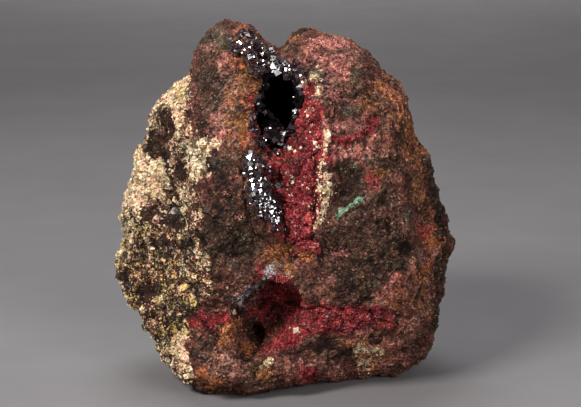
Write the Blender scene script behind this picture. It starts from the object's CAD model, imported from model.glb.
"""A cuprite specimen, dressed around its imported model.

A broken lump of altered host rock carries dark, brilliant cuprite crystals in the hollow at the top
of an open seam, on the crest beside it and on the seam's left wall, and crimson druse on the right
wall and beside a lower pocket. The rock gets its fine relief and its minerals' colours here, and each
crust of crystals gets the many small crystals that its solid stands for.

Shapes are worked out in millimetres in the model's own frame: X to the right, Y back through the
rock and Z up. They become metres when a piece is finished.
"""

import logging
import math
import random
from collections.abc import Iterable
from dataclasses import dataclass, field
from enum import Enum

import bmesh
import bpy
import numpy as np
from mathutils import Matrix, Vector, noise
from mathutils.bvhtree import BVHTree


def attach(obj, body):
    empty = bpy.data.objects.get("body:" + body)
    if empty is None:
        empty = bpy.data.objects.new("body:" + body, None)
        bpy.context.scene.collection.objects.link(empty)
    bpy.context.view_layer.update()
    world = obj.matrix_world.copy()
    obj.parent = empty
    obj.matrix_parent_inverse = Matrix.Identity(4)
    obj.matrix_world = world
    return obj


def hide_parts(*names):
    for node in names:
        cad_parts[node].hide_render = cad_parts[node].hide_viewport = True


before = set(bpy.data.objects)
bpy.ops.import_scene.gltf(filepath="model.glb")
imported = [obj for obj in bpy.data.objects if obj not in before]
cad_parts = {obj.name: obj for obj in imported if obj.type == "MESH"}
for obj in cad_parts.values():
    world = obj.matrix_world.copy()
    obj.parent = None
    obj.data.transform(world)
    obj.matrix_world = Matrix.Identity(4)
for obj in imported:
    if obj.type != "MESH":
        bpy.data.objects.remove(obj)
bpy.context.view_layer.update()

MM = 0.001
BODY = "root"
log = logging.getLogger("cuprite")


def smooth_step(low: float, high: float, values: np.ndarray) -> np.ndarray:
    """A smooth ramp.

    Args:
        low: where the ramp is 0; it may lie above high, for a ramp that falls.
        high: where the ramp is 1.
        values: what to measure.

    Returns:
        The ramp's height for each value.
    """
    share = np.clip((values - low) / (high - low), 0.0, 1.0)
    return share * share * (3.0 - 2.0 * share)


def srgb(red: int, green: int, blue: int) -> tuple[float, float, float, float]:
    """A colour as shaders take it.

    Args:
        red: the red share as a display shows it, from 0 to 255.
        green: the green share.
        blue: the blue share.

    Returns:
        The linear colour with full alpha.
    """
    shares = (value / 255.0 for value in (red, green, blue))
    linear = [s / 12.92 if s <= 0.04045 else ((s + 0.055) / 1.055) ** 2.4 for s in shares]
    return (linear[0], linear[1], linear[2], 1.0)


def fractal(points: np.ndarray, size: float, octaves: int, seed: float) -> np.ndarray:
    """Fractal noise at each point.

    Args:
        points: places in millimetres, one a row.
        size: the width of its largest lumps.
        octaves: how many finer layers it has.
        seed: shifts the pattern, so that two of one size differ.

    Returns:
        The noise, about -1 to 1.
    """
    shifted = points / size + np.array((seed * 1.7, seed * 0.9 + 3.1, seed * 2.3))
    return np.array([noise.fractal(Vector(p), 0.9, 2.1, octaves) for p in shifted.tolist()])


# Where the picture is taken from


@dataclass(frozen=True)
class Viewpoint:
    """The camera, and the upright plane through the rock that its picture shows in real sizes.

    A place on that plane is how far it lies to the right of the rock's middle and above its foot.
    """

    aim: Vector = Vector((1.7, 0.0, 47.6))
    look_down_deg: float = 12.0
    distance: float = 550.0
    width_seen: float = 156.87
    sensor_width: float = 36.0
    aim_across: float = 1.755
    aim_up: float = 51.165

    @property
    def right(self) -> Vector:
        """The picture's right in the model's frame."""
        return Vector((1.0, 0.0, 0.0))

    @property
    def up(self) -> Vector:
        """The picture's up in the model's frame."""
        tilt = math.radians(self.look_down_deg)
        return Vector((0.0, math.sin(tilt), math.cos(tilt)))

    @property
    def back(self) -> Vector:
        """From the rock to the camera."""
        return self.right.cross(self.up)

    def places(self, points: np.ndarray) -> tuple[np.ndarray, np.ndarray]:
        """Where points show in the picture.

        Args:
            points: places in millimetres, one a row.

        Returns:
            How far each shows across and up.
        """
        away = points - np.array(self.aim)
        nearer = self.distance / (self.distance - away @ np.array(self.back))
        across = away @ np.array(self.right) * nearer + self.aim_across
        return across, away @ np.array(self.up) * nearer + self.aim_up

    def ray(self, across: float, up: float) -> tuple[Vector, Vector]:
        """The line of sight through a place of the picture.

        Args:
            across: the place, to the right of the rock's middle.
            up: the place, above the rock's foot.

        Returns:
            The camera's place and the direction from it.
        """
        eye = self.aim + self.back * self.distance
        spot = self.aim + self.right * (across - self.aim_across) + self.up * (up - self.aim_up)
        return eye, (spot - eye).normalized()

    def make_camera(self) -> None:
        """Put the scene's camera there."""
        data = bpy.data.cameras.new("camera")
        data.sensor_width = self.sensor_width
        data.lens = self.sensor_width * self.distance / self.width_seen
        camera = bpy.data.objects.new("camera", data)
        camera.location = (self.aim + self.back * self.distance) * MM
        camera.rotation_euler = (math.radians(90.0 - self.look_down_deg), 0.0, 0.0)
        bpy.context.scene.collection.objects.link(camera)
        bpy.context.scene.camera = camera


VIEW = Viewpoint()


# Which mineral shows where


class Mineral(Enum):
    """What colours a place on the rock. The value names the attribute that carries its weight."""

    DARK = "dark_plates"
    OLIVE = "olive_skin"
    PINK = "pink_skin"
    OCHRE = "ochre"
    CREAM = "cream"
    YELLOW = "yellow"
    CRIMSON = "crimson"
    VERDIGRIS = "verdigris"
    FROST = "frost"


@dataclass(frozen=True)
class Spot:
    """A round patch by its middle across and up, its half sizes and how fully the mineral fills it."""

    across: float
    up: float
    half_width: float
    half_height: float
    fill: float = 1.0

    def weights(self, across: np.ndarray, up: np.ndarray) -> np.ndarray:
        """How much of the mineral each place has."""
        reach = np.hypot((across - self.across) / self.half_width, (up - self.up) / self.half_height)
        return self.fill * smooth_step(1.75, 0.45, reach)


@dataclass(frozen=True)
class Vein:
    """A patch along a line whose corners are given as (across, up, half width)."""

    corners: tuple[tuple[float, float, float], ...]
    fill: float = 1.0

    def weights(self, across: np.ndarray, up: np.ndarray) -> np.ndarray:
        """How much of the mineral each place has."""
        nearest = np.full(len(across), 9.0)
        for (x0, y0, w0), (x1, y1, w1) in zip(self.corners, self.corners[1:]):
            along = np.array((x1 - x0, y1 - y0))
            run = ((across - x0) * along[0] + (up - y0) * along[1]) / max(along @ along, 1e-9)
            run = np.clip(run, 0.0, 1.0)
            off = np.hypot(across - x0 - run * along[0], up - y0 - run * along[1])
            nearest = np.minimum(nearest, off / (w0 + (w1 - w0) * run))
        return self.fill * smooth_step(1.75, 0.45, nearest)


@dataclass(frozen=True)
class Field:
    """A large patch inside a closed line of (across, up) corners."""

    corners: tuple[tuple[float, float], ...]
    fill: float = 1.0
    edge: float = 1.6

    def weights(self, across: np.ndarray, up: np.ndarray) -> np.ndarray:
        """How much of the mineral each place has."""
        nearest = np.full(len(across), 1e9)
        inside = np.zeros(len(across), bool)
        for (x0, y0), (x1, y1) in zip(self.corners, self.corners[1:] + self.corners[:1]):
            along = np.array((x1 - x0, y1 - y0))
            run = ((across - x0) * along[0] + (up - y0) * along[1]) / max(along @ along, 1e-9)
            run = np.clip(run, 0.0, 1.0)
            off = np.hypot(across - x0 - run * along[0], up - y0 - run * along[1])
            nearest = np.minimum(nearest, off)
            if y0 != y1:
                crosses = (y0 > up) != (y1 > up)
                inside ^= crosses & (across < x0 + (x1 - x0) * (up - y0) / (y1 - y0))
        depth = np.where(inside, nearest, -nearest)
        return self.fill * smooth_step(-self.edge, self.edge, depth)


# Each mineral's patches on the front, in millimetres across and up.
PATCHES: dict[Mineral, tuple[Spot | Vein | Field, ...]] = {
    Mineral.DARK: (
        Spot(-34.8, 66.7, 2.8, 3.8), Spot(-27.5, 60.2, 1.5, 3.0), Spot(-37.5, 48.0, 2.3, 2.6, 0.9),
        Spot(-29.4, 46.7, 5.0, 2.2, 0.8), Spot(-32.0, 40.0, 5.0, 2.4, 0.85), Spot(-43.0, 31.3, 1.4, 2.0),
        Spot(-36.7, 27.5, 3.0, 2.6, 0.85), Spot(-35.4, 21.9, 2.0, 1.8, 0.9), Spot(-28.6, 32.7, 0.8, 2.4, 0.9),
        Spot(-32.0, 74.0, 2.4, 3.2, 0.9), Spot(-19.5, 83.7, 4.0, 5.0, 0.6), Spot(-22.0, 76.0, 2.4, 6.0, 0.55),
        Spot(-15.9, 48.0, 9.0, 12.0, 0.6), Spot(-17.0, 28.5, 5.0, 4.0, 0.5),
        Vein(((-31.0, 73.0, 1.2), (-32.4, 62.0, 0.7), (-29.7, 54.0, 0.9), (-29.0, 48.0, 1.0)), 0.8),
        Vein(((-20.0, 61.5, 1.1), (-15.0, 61.8, 1.2), (-9.7, 59.5, 0.9)), 0.9),
        Spot(17.2, 60.5, 4.0, 2.2, 0.85), Spot(17.3, 54.6, 4.0, 4.2), Spot(25.5, 52.0, 2.2, 1.9, 0.9),
        Spot(29.2, 54.8, 2.4, 2.8, 0.7), Spot(19.7, 43.5, 5.0, 4.0, 0.7), Spot(14.3, 41.3, 3.6, 3.2, 0.8),
        Spot(19.2, 31.3, 7.4, 5.8, 0.66), Spot(30.0, 34.3, 3.0, 2.2, 0.95), Spot(32.3, 39.2, 1.6, 1.8),
        Spot(24.6, 14.7, 1.6, 1.0), Spot(25.0, 42.0, 8.0, 7.0, 0.55), Spot(-22.0, 11.0, 3.4, 3.6, 0.5), Spot(-19.0, 13.5, 3.4, 4.0, 0.52),
        Vein(((38.6, 62.0, 1.0), (41.5, 52.0, 1.3), (44.0, 40.0, 1.7), (42.0, 30.0, 1.3), (41.0, 18.0, 1.2))),
        Vein(((-13.5, 22.4, 1.2), (-9.0, 20.0, 2.4), (-7.4, 15.0, 2.4)), 0.7),
        Field(((-43.0, 51.0), (-22.0, 53.0), (-19.5, 32.0), (-24.0, 18.0), (-36.0, 8.0), (-44.0, 27.0)), 0.48),
        Vein(((4.6, 78.0, 1.6), (3.0, 67.0, 3.0), (1.0, 58.0, 3.4), (2.0, 47.0, 2.6)), 0.38),
        Spot(1.0, 62.6, 2.6, 1.2, 0.7), Spot(8.0, 59.0, 2.0, 4.0, 0.42),
        Vein(((8.6, 75.0, 0.4), (3.0, 67.4, 0.7)), 0.62), Vein(((9.4, 63.0, 0.5), (1.4, 54.4, 0.7)), 0.6),
        Vein(((8.6, 53.6, 0.5), (3.6, 45.4, 0.7)), 0.6), Vein(((1.0, 24.6, 0.5), (8.0, 20.4, 0.6)), 0.5),
        Vein(((4.0, 20.0, 3.0), (22.0, 20.0, 2.6)), 0.42),
    ),
    Mineral.OLIVE: (
        Spot(-19.5, 96.0, 5.0, 4.4, 0.82), Spot(-17.0, 78.0, 6.0, 9.0, 0.62), Spot(-15.0, 66.0, 6.0, 4.0, 0.5), Spot(-19.4, 83.9, 2.0, 4.0, 0.8), Spot(18.4, 76.6, 3.4, 1.7, 0.95),
        Spot(24.2, 64.0, 2.0, 1.5, 0.9), Spot(18.8, 61.6, 1.2, 1.0, 0.8), Spot(4.9, 91.0, 1.5, 1.0, 0.6),
        Spot(19.2, 87.3, 1.2, 2.6, 0.8), Spot(-36.3, 33.0, 3.0, 2.6, 0.7), Spot(-21.6, 12.2, 3.0, 3.6, 0.55),
        Spot(23.0, 42.0, 12.0, 15.0, 0.46), Spot(-14.0, 40.0, 8.0, 9.0, 0.4),
    ),
    Mineral.PINK: (
        Spot(13.8, 90.9, 6.0, 5.4, 0.95), Spot(11.0, 82.0, 8.0, 5.0, 0.55), Spot(16.0, 72.4, 6.0, 1.8, 0.8),
        Spot(16.5, 65.1, 5.5, 2.4, 0.75), Spot(-29.4, 80.5, 1.8, 1.6, 0.9), Spot(-20.5, 93.0, 2.2, 1.6, 0.55),
        Spot(-15.9, 84.5, 3.6, 7.0, 0.6), Spot(-16.5, 72.0, 5.0, 4.0, 0.5), Spot(-35.9, 69.9, 1.2, 1.5, 0.9), Spot(-13.0, 52.0, 6.0, 6.0, 0.42),
        Vein(((39.4, 38.6, 2.4), (32.7, 31.9, 2.3), (27.3, 26.5, 2.5), (25.1, 23.8, 2.0)), 0.85),
        Vein(((7.0, 79.0, 2.0), (6.6, 66.0, 3.6), (6.4, 55.0, 3.0), (5.4, 44.0, 2.2)), 0.4),
        Spot(15.0, 31.5, 3.2, 1.6), Spot(13.9, 37.8, 2.8, 1.6, 0.85), Spot(27.0, 14.0, 9.0, 7.0, 0.58),
        Spot(10.5, 7.5, 7.0, 3.6, 0.6), Spot(33.0, 24.0, 7.0, 9.0, 0.62), Spot(-15.4, 7.3, 6.0, 4.4, 0.48), Spot(-11.6, 27.6, 3.4, 1.6, 0.6),
        Spot(0.3, 33.2, 4.4, 2.4, 0.65), Spot(26.0, 66.5, 6.0, 3.0, 0.5), Spot(30.0, 47.0, 4.0, 6.0, 0.5),
    ),
    Mineral.OCHRE: (
        Vein((
            (-11.1, 98.8, 1.2), (-13.5, 94.0, 1.3), (-12.2, 90.0, 1.3), (-10.5, 86.5, 1.6),
            (-8.1, 83.5, 1.8), (-8.4, 79.5, 1.6), (-10.8, 75.5, 1.9), (-10.6, 70.0, 2.2),
            (-9.6, 65.8, 1.7), (-9.5, 59.7, 0.9),
        ), 0.7),
        Spot(-10.4, 70.4, 1.2, 2.2, 0.95), Spot(-9.6, 63.0, 0.8, 1.8, 0.95), Spot(-9.7, 96.6, 1.2, 1.2, 0.9),
        Vein(((-12.0, 92.0, 3.0), (-11.5, 80.0, 4.2), (-11.5, 70.0, 4.8)), 0.42),
        Spot(0.2, 62.4, 1.6, 1.0, 0.7), Spot(8.4, 59.2, 1.8, 1.6, 0.5), Spot(2.6, 43.4, 3.0, 1.6, 0.6),
        Spot(0.3, 39.5, 3.4, 1.8), Spot(5.9, 37.4, 2.0, 1.4, 0.9), Spot(-1.0, 36.8, 5.0, 4.0, 0.62),
        Spot(-6.8, 30.8, 1.4, 1.6, 0.8),
        Vein(((-12.0, 20.4, 1.2), (-14.0, 18.6, 1.5), (-16.7, 15.3, 1.5))),
        Spot(-9.5, 11.3, 2.4, 2.0, 0.9), Spot(-5.0, 4.9, 2.2, 1.5, 0.95), Spot(-21.9, 4.6, 1.4, 2.6, 0.75),
        Spot(-18.6, 2.7, 2.6, 1.4, 0.8), Spot(-5.0, 18.0, 5.0, 7.0, 0.45),
        Vein(((30.0, 81.5, 2.0), (33.0, 70.0, 2.2), (36.2, 60.0, 2.4), (36.0, 52.0, 2.0)), 0.48),
        Spot(34.0, 26.0, 8.0, 8.0, 0.4), Spot(24.0, 12.0, 8.0, 5.0, 0.42), Spot(40.0, 40.0, 4.0, 12.0, 0.45),
        Spot(32.7, 69.4, 1.6, 1.4), Spot(37.1, 65.6, 1.4, 1.2), Spot(25.9, 59.5, 1.6, 1.4, 0.85),
        Spot(26.2, 82.9, 2.0, 1.4), Spot(22.4, 78.0, 3.4, 2.8, 0.5), Spot(40.5, 41.3, 2.2, 2.4),
        Spot(37.1, 32.1, 2.0, 2.0, 0.75), Spot(30.1, 23.6, 1.0, 1.4, 0.9), Spot(28.6, 17.0, 3.0, 2.4, 0.7),
        Spot(23.9, 8.0, 1.8, 2.0, 0.8), Spot(3.0, 95.3, 1.3, 1.2, 0.9), Spot(29.0, 76.0, 8.0, 12.0, 0.3),
    ),
    Mineral.CREAM: (
        Field((
            (-50.0, 92.0), (-24.6, 87.2), (-25.4, 79.1), (-24.8, 71.0), (-20.0, 68.3), (-18.4, 64.3),
            (-20.5, 58.9), (-24.0, 56.2), (-22.7, 50.8), (-20.8, 41.3), (-18.9, 33.2), (-18.4, 26.5),
            (-24.0, 21.9), (-26.2, 14.3), (-25.4, 4.9), (-27.0, -8.0), (-50.0, -8.0),
        ), 0.48),
        Field((
            (-50.0, 62.0), (-38.0, 66.0), (-31.0, 62.0), (-33.0, 54.0), (-38.0, 48.0), (-41.0, 38.0),
            (-50.0, 34.0),
        ), 0.92),
        Field(((-36.0, 92.0), (-25.0, 87.0), (-25.6, 74.0), (-31.0, 70.0), (-38.0, 73.0)), 0.62),
        Spot(-22.4, 66.4, 4.4, 2.4), Spot(-22.7, 61.3, 2.9, 2.6), Spot(-34.5, 59.5, 3.5, 4.0, 0.95),
        Spot(-42.5, 50.5, 2.8, 3.4), Spot(-27.5, 33.5, 1.6, 3.0, 0.95), Spot(-39.0, 53.6, 3.0, 2.4, 0.9),
        Vein(((-29.7, 14.6, 1.4), (-27.6, 9.5, 1.5), (-25.4, 5.1, 1.2))),
        Vein((
            (12.0, 70.0, 0.9), (10.6, 65.6, 0.8), (9.9, 62.0, 0.5), (10.8, 58.5, 1.3),
            (10.6, 55.7, 2.6), (10.3, 51.2, 1.4), (10.0, 46.7, 1.4), (8.6, 43.2, 0.9),
        ), 0.6),
        Vein(((11.3, 59.0, 1.0), (7.0, 55.5, 0.6)), 0.9),
        Spot(12.2, 69.1, 1.3, 1.2), Spot(8.5, 67.6, 1.2, 1.0), Spot(4.6, 65.3, 1.4, 1.0, 0.85),
        Spot(2.7, 57.2, 1.1, 1.0, 0.9), Spot(7.6, 50.0, 1.6, 3.0, 0.4), Spot(6.2, 72.6, 2.6, 3.0, 0.36),
        Spot(1.8, 66.2, 2.2, 0.9, 0.6), Spot(3.2, 17.0, 1.3, 1.1), Spot(-13.8, 21.9, 1.2, 1.2),
        Spot(-4.5, 7.3, 1.8, 0.9, 0.85), Spot(8.4, 85.6, 2.0, 1.8, 0.7), Spot(8.9, 81.4, 1.5, 1.4, 0.7),
        Spot(8.1, 77.0, 1.4, 2.0, 0.7), Spot(22.0, 10.0, 4.0, 4.0, 0.42),
    ),
    Mineral.YELLOW: (
        Field(((-46.0, 44.0), (-30.0, 45.0), (-21.0, 30.0), (-24.0, 15.0), (-34.0, 10.0), (-44.0, 26.0)), 0.4),
        Spot(-27.5, 27.3, 1.5, 2.7), Spot(-32.8, 28.4, 1.3, 1.3), Spot(-24.3, 25.1, 1.6, 1.2, 0.9),
        Spot(-30.5, 17.5, 2.6, 2.6, 0.8), Spot(-40.2, 56.2, 1.2, 0.9, 0.9), Spot(-44.5, 38.6, 1.2, 2.2, 0.9),
        Spot(-21.0, 65.8, 2.2, 1.1, 0.65), Spot(-27.8, 80.5, 1.0, 2.4, 0.7),
    ),
    Mineral.CRIMSON: (
        Vein((
            (6.5, 82.3, 1.2), (6.8, 75.1, 3.4), (5.6, 68.3, 4.8), (5.1, 61.6, 4.6), (5.1, 54.8, 4.2),
            (5.4, 48.1, 3.6), (5.4, 41.9, 2.4),
        )),
        Vein(((-3.6, 64.0, 1.4), (-3.0, 57.0, 1.8), (-1.2, 50.0, 1.8)), 0.75),
        Vein(((1.5, 66.5, 2.6), (0.0, 61.0, 2.6), (1.5, 54.0, 3.0), (2.6, 48.0, 3.0), (4.0, 43.0, 2.4)), 0.85),
        Vein(((-9.0, 81.0, 0.5), (-8.6, 76.0, 0.8), (-7.6, 70.0, 0.9), (-4.0, 65.6, 1.2)), 0.7),
        Spot(-4.5, 27.0, 4.2, 6.5, 0.8), Spot(-1.0, 45.0, 3.0, 4.5, 0.5),
        Vein(((13.0, 68.4, 0.5), (16.5, 68.4, 0.7), (20.0, 69.8, 0.8), (23.0, 70.8, 1.2), (24.2, 73.6, 1.0)), 0.85),
        Vein((
            (0.3, 29.2, 2.2), (1.6, 23.8, 3.0), (4.3, 19.7, 3.8), (12.4, 19.7, 3.6), (20.5, 20.5, 3.0),
            (25.4, 21.1, 1.8),
        )),
        Vein(((2.5, 16.0, 2.6), (-1.0, 13.5, 2.6), (-4.3, 11.5, 1.6)), 0.95),
        Vein(((-23.8, 19.6, 1.8), (-19.5, 19.2, 2.2), (-15.4, 20.6, 1.5))),
        Spot(6.6, 5.4, 2.8, 2.0, 0.7), Spot(37.5, 43.5, 2.2, 1.6, 0.65), Spot(24.0, 57.0, 2.2, 2.0, 0.6),
        Spot(12.4, 63.8, 1.2, 1.3, 0.65), Spot(12.6, 52.2, 1.3, 1.4, 0.55), Spot(-6.0, 21.0, 5.0, 5.0, 0.62),
    ),
    Mineral.VERDIGRIS: (
        Vein(((14.6, 47.5, 0.9), (17.3, 49.3, 0.8), (19.4, 51.0, 0.6), (21.0, 53.0, 0.45)), 0.85),
        Spot(33.5, 48.0, 1.0, 0.9, 0.5), Spot(19.0, 61.5, 0.9, 0.7, 0.4), Spot(-17.4, 61.9, 1.2, 0.7, 0.5),
    ),
    Mineral.FROST: (
        Vein(((-13.2, 25.1, 0.8), (-9.2, 27.8, 1.0), (-5.9, 30.5, 1.0), (-2.7, 33.8, 1.1))),
        Vein(((-12.4, 22.9, 1.1), (-8.4, 25.6, 0.9)), 0.35),
        Spot(-29.6, 49.0, 1.8, 1.4, 0.6), Spot(-30.5, 38.6, 1.6, 0.7, 0.7),
    ),
}

# Out of the picture's sight the same minerals lie in drifts: drift width, how common, how full.
DRIFTS: dict[Mineral, tuple[float, float, float]] = {
    Mineral.DARK: (9.0, 0.0, 0.7),
    Mineral.OLIVE: (12.0, 0.1, 0.6),
    Mineral.PINK: (10.0, 0.05, 0.65),
    Mineral.OCHRE: (11.0, 0.18, 0.7),
    Mineral.CREAM: (16.0, 0.3, 0.6),
    Mineral.YELLOW: (7.0, 0.5, 0.7),
    Mineral.CRIMSON: (9.0, 0.48, 0.7),
    Mineral.VERDIGRIS: (5.0, 0.75, 0.6),
    Mineral.FROST: (6.0, 0.62, 0.5),
}


class MineralMap:
    """Gives each place of the rock its share of every mineral."""

    WARPS = ((4.5, 1.7, 5.0), (1.6, 0.8, 9.0))
    FRONT_FADES = (18.0, 6.0)
    FADE_WAVES = (11.0, 9.0)
    TOP_TURNS = (80.0, 97.0)
    TOP_SHIFT = 5.0
    LEFT_FACE = (-14.0, -30.0)
    LEFT_FILL = 0.5

    def weights(self, points: np.ndarray) -> dict[Mineral, np.ndarray]:
        """The minerals' weights.

        Args:
            points: places on the rock in millimetres, one a row.

        Returns:
            For each mineral a weight at each place: at 0 it has none, at 0.5 it is half covered.
        """
        across, up = VIEW.places(points)
        for size, shift, seed in self.WARPS:
            moved = [noise.noise_vector(Vector(p)) for p in (points / size + seed).tolist()]
            across = across + shift * np.array([m.x for m in moved])
            up = up + shift * np.array([m.z for m in moved])
        waves, depth = self.FADE_WAVES
        backness = points[:, 1] + depth * fractal(points, waves, 2, 3.0)
        backness += self.TOP_SHIFT * smooth_step(*self.TOP_TURNS, points[:, 2])
        front = smooth_step(*self.FRONT_FADES, backness)
        unseen = front < 1.0
        shares = {}
        for number, (mineral, patches) in enumerate(PATCHES.items()):
            shown = np.max([patch.weights(across, up) for patch in patches], axis=0)
            width, rarity, fill = DRIFTS[mineral]
            drift = np.zeros(len(points))
            pattern = fractal(points[unseen], width, 3, 60.0 + 7 * number)
            drift[unseen] = fill * smooth_step(rarity - 0.25, rarity + 0.35, pattern)
            if mineral is Mineral.CREAM:
                drift = np.maximum(drift, self.LEFT_FILL * smooth_step(*self.LEFT_FACE, points[:, 0]))
            shares[mineral] = shown * front + drift * (1.0 - front)
        return shares


MAP = MineralMap()


# Meshes


def finish_piece(
    name: str, bm: bmesh.types.BMesh, materials: list[bpy.types.Material], slot: str, nodes: Iterable[str] = ()
) -> bpy.types.Object:
    """Make a piece of the specimen from a bmesh in millimetres, which is freed.

    Args:
        name: the piece's name.
        bm: its mesh.
        materials: its finishes, in the order of its faces' material slots.
        slot: the record's material slot.
        nodes: the model's nodes that it stands for.

    Returns:
        The piece, riding on the specimen's one body.
    """
    bmesh.ops.scale(bm, vec=(MM, MM, MM), verts=bm.verts)
    mesh = bpy.data.meshes.new(name)
    bm.to_mesh(mesh)
    bm.free()
    piece = bpy.data.objects.new(name, mesh)
    bpy.context.scene.collection.objects.link(piece)
    for material in materials:
        mesh.materials.append(material)
    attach(piece, BODY)
    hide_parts(*nodes)
    log.info("%s: %d triangles", name, sum(len(face.vertices) - 2 for face in mesh.polygons))
    return piece


def node_copy(node: str) -> bmesh.types.BMesh:
    """A copy of a node's mesh in millimetres, with its loose triangles merged."""
    bm = bmesh.new()
    bm.from_mesh(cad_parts[node].data)
    bmesh.ops.scale(bm, vec=(1 / MM, 1 / MM, 1 / MM), verts=bm.verts)
    bmesh.ops.remove_doubles(bm, verts=bm.verts, dist=0.001)
    bm.normal_update()
    return bm


def remeshed(bm: bmesh.types.BMesh, voxel: float) -> bmesh.types.BMesh:
    """An even mesh of the same shape.

    Args:
        bm: a closed mesh in millimetres, which is freed.
        voxel: the width of the new faces.

    Returns:
        The new mesh.
    """
    mesh = bpy.data.meshes.new("shape")
    bm.to_mesh(mesh)
    bm.free()
    shape = bpy.data.objects.new("shape", mesh)
    bpy.context.scene.collection.objects.link(shape)
    modifier = shape.modifiers.new("even", "REMESH")
    modifier.mode = "VOXEL"
    modifier.voxel_size = voxel
    even = bmesh.new()
    even.from_object(shape, bpy.context.evaluated_depsgraph_get())
    bpy.data.objects.remove(shape)
    bpy.data.meshes.remove(mesh)
    even.normal_update()
    return even


def corners_of(bm: bmesh.types.BMesh) -> np.ndarray:
    """The places of a mesh's vertices, one a row."""
    return np.array([v.co for v in bm.verts])


def carry_minerals(piece: bpy.types.Object) -> None:
    """Write the minerals' weights on a finished piece, one attribute each."""
    mesh = piece.data
    points = np.empty(len(mesh.vertices) * 3, np.float32)
    mesh.vertices.foreach_get("co", points)
    for mineral, shares in MAP.weights(points.reshape(-1, 3) / MM).items():
        layer = mesh.attributes.new(mineral.value, "FLOAT", "POINT")
        layer.data.foreach_set("value", shares.astype(np.float32))


# Materials


class Wiring:
    """Adds nodes to a node tree and joins their sockets."""

    def __init__(self, tree: bpy.types.NodeTree) -> None:
        """Work on that tree."""
        self.tree = tree

    def add(self, kind: str, **settings: object) -> bpy.types.Node:
        """A new node of a kind with these settings."""
        node = self.tree.nodes.new(kind)
        for name, value in settings.items():
            setattr(node, name, value)
        return node

    def feed(self, socket: bpy.types.NodeSocket, value: object) -> None:
        """Join a socket to another one, or set its own value."""
        if isinstance(value, bpy.types.NodeSocket):
            self.tree.links.new(value, socket)
        else:
            socket.default_value = value

    def math(self, operation: str, first: object, second: object = 0.0, clamp: bool = False) -> object:
        """The output of a math node."""
        node = self.add("ShaderNodeMath", operation=operation, use_clamp=clamp)
        self.feed(node.inputs[0], first)
        self.feed(node.inputs[1], second)
        return node.outputs[0]

    def blend(self, share: object, first: object, second: object, how: str = "MIX") -> object:
        """The output of a node that mixes two colours."""
        node = self.add("ShaderNodeMix", data_type="RGBA", blend_type=how)
        self.feed(node.inputs[0], share)
        self.feed(node.inputs[6], first)
        self.feed(node.inputs[7], second)
        return node.outputs[2]

    def ramp(self, value: object, low: float, high: float) -> object:
        """The output of a node that maps low to 0 and high to 1, and keeps between them."""
        node = self.add("ShaderNodeMapRange")
        self.feed(node.inputs[0], value)
        self.feed(node.inputs[1], low)
        self.feed(node.inputs[2], high)
        return node.outputs[0]

    def noise(self, vector: object, scale: object, detail: float = 4.0, roughness: float = 0.6) -> object:
        """The value of a noise texture; scale is lumps a metre."""
        node = self.add("ShaderNodeTexNoise")
        self.feed(node.inputs["Vector"], vector)
        self.feed(node.inputs["Scale"], scale)
        self.feed(node.inputs["Detail"], detail)
        self.feed(node.inputs["Roughness"], roughness)
        return node.outputs[0]

    def cells(self, vector: object, scale: object) -> bpy.types.Node:
        """A Voronoi texture; its outputs are distance and colour."""
        node = self.add("ShaderNodeTexVoronoi")
        self.feed(node.inputs["Vector"], vector)
        self.feed(node.inputs["Scale"], scale)
        return node


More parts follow.
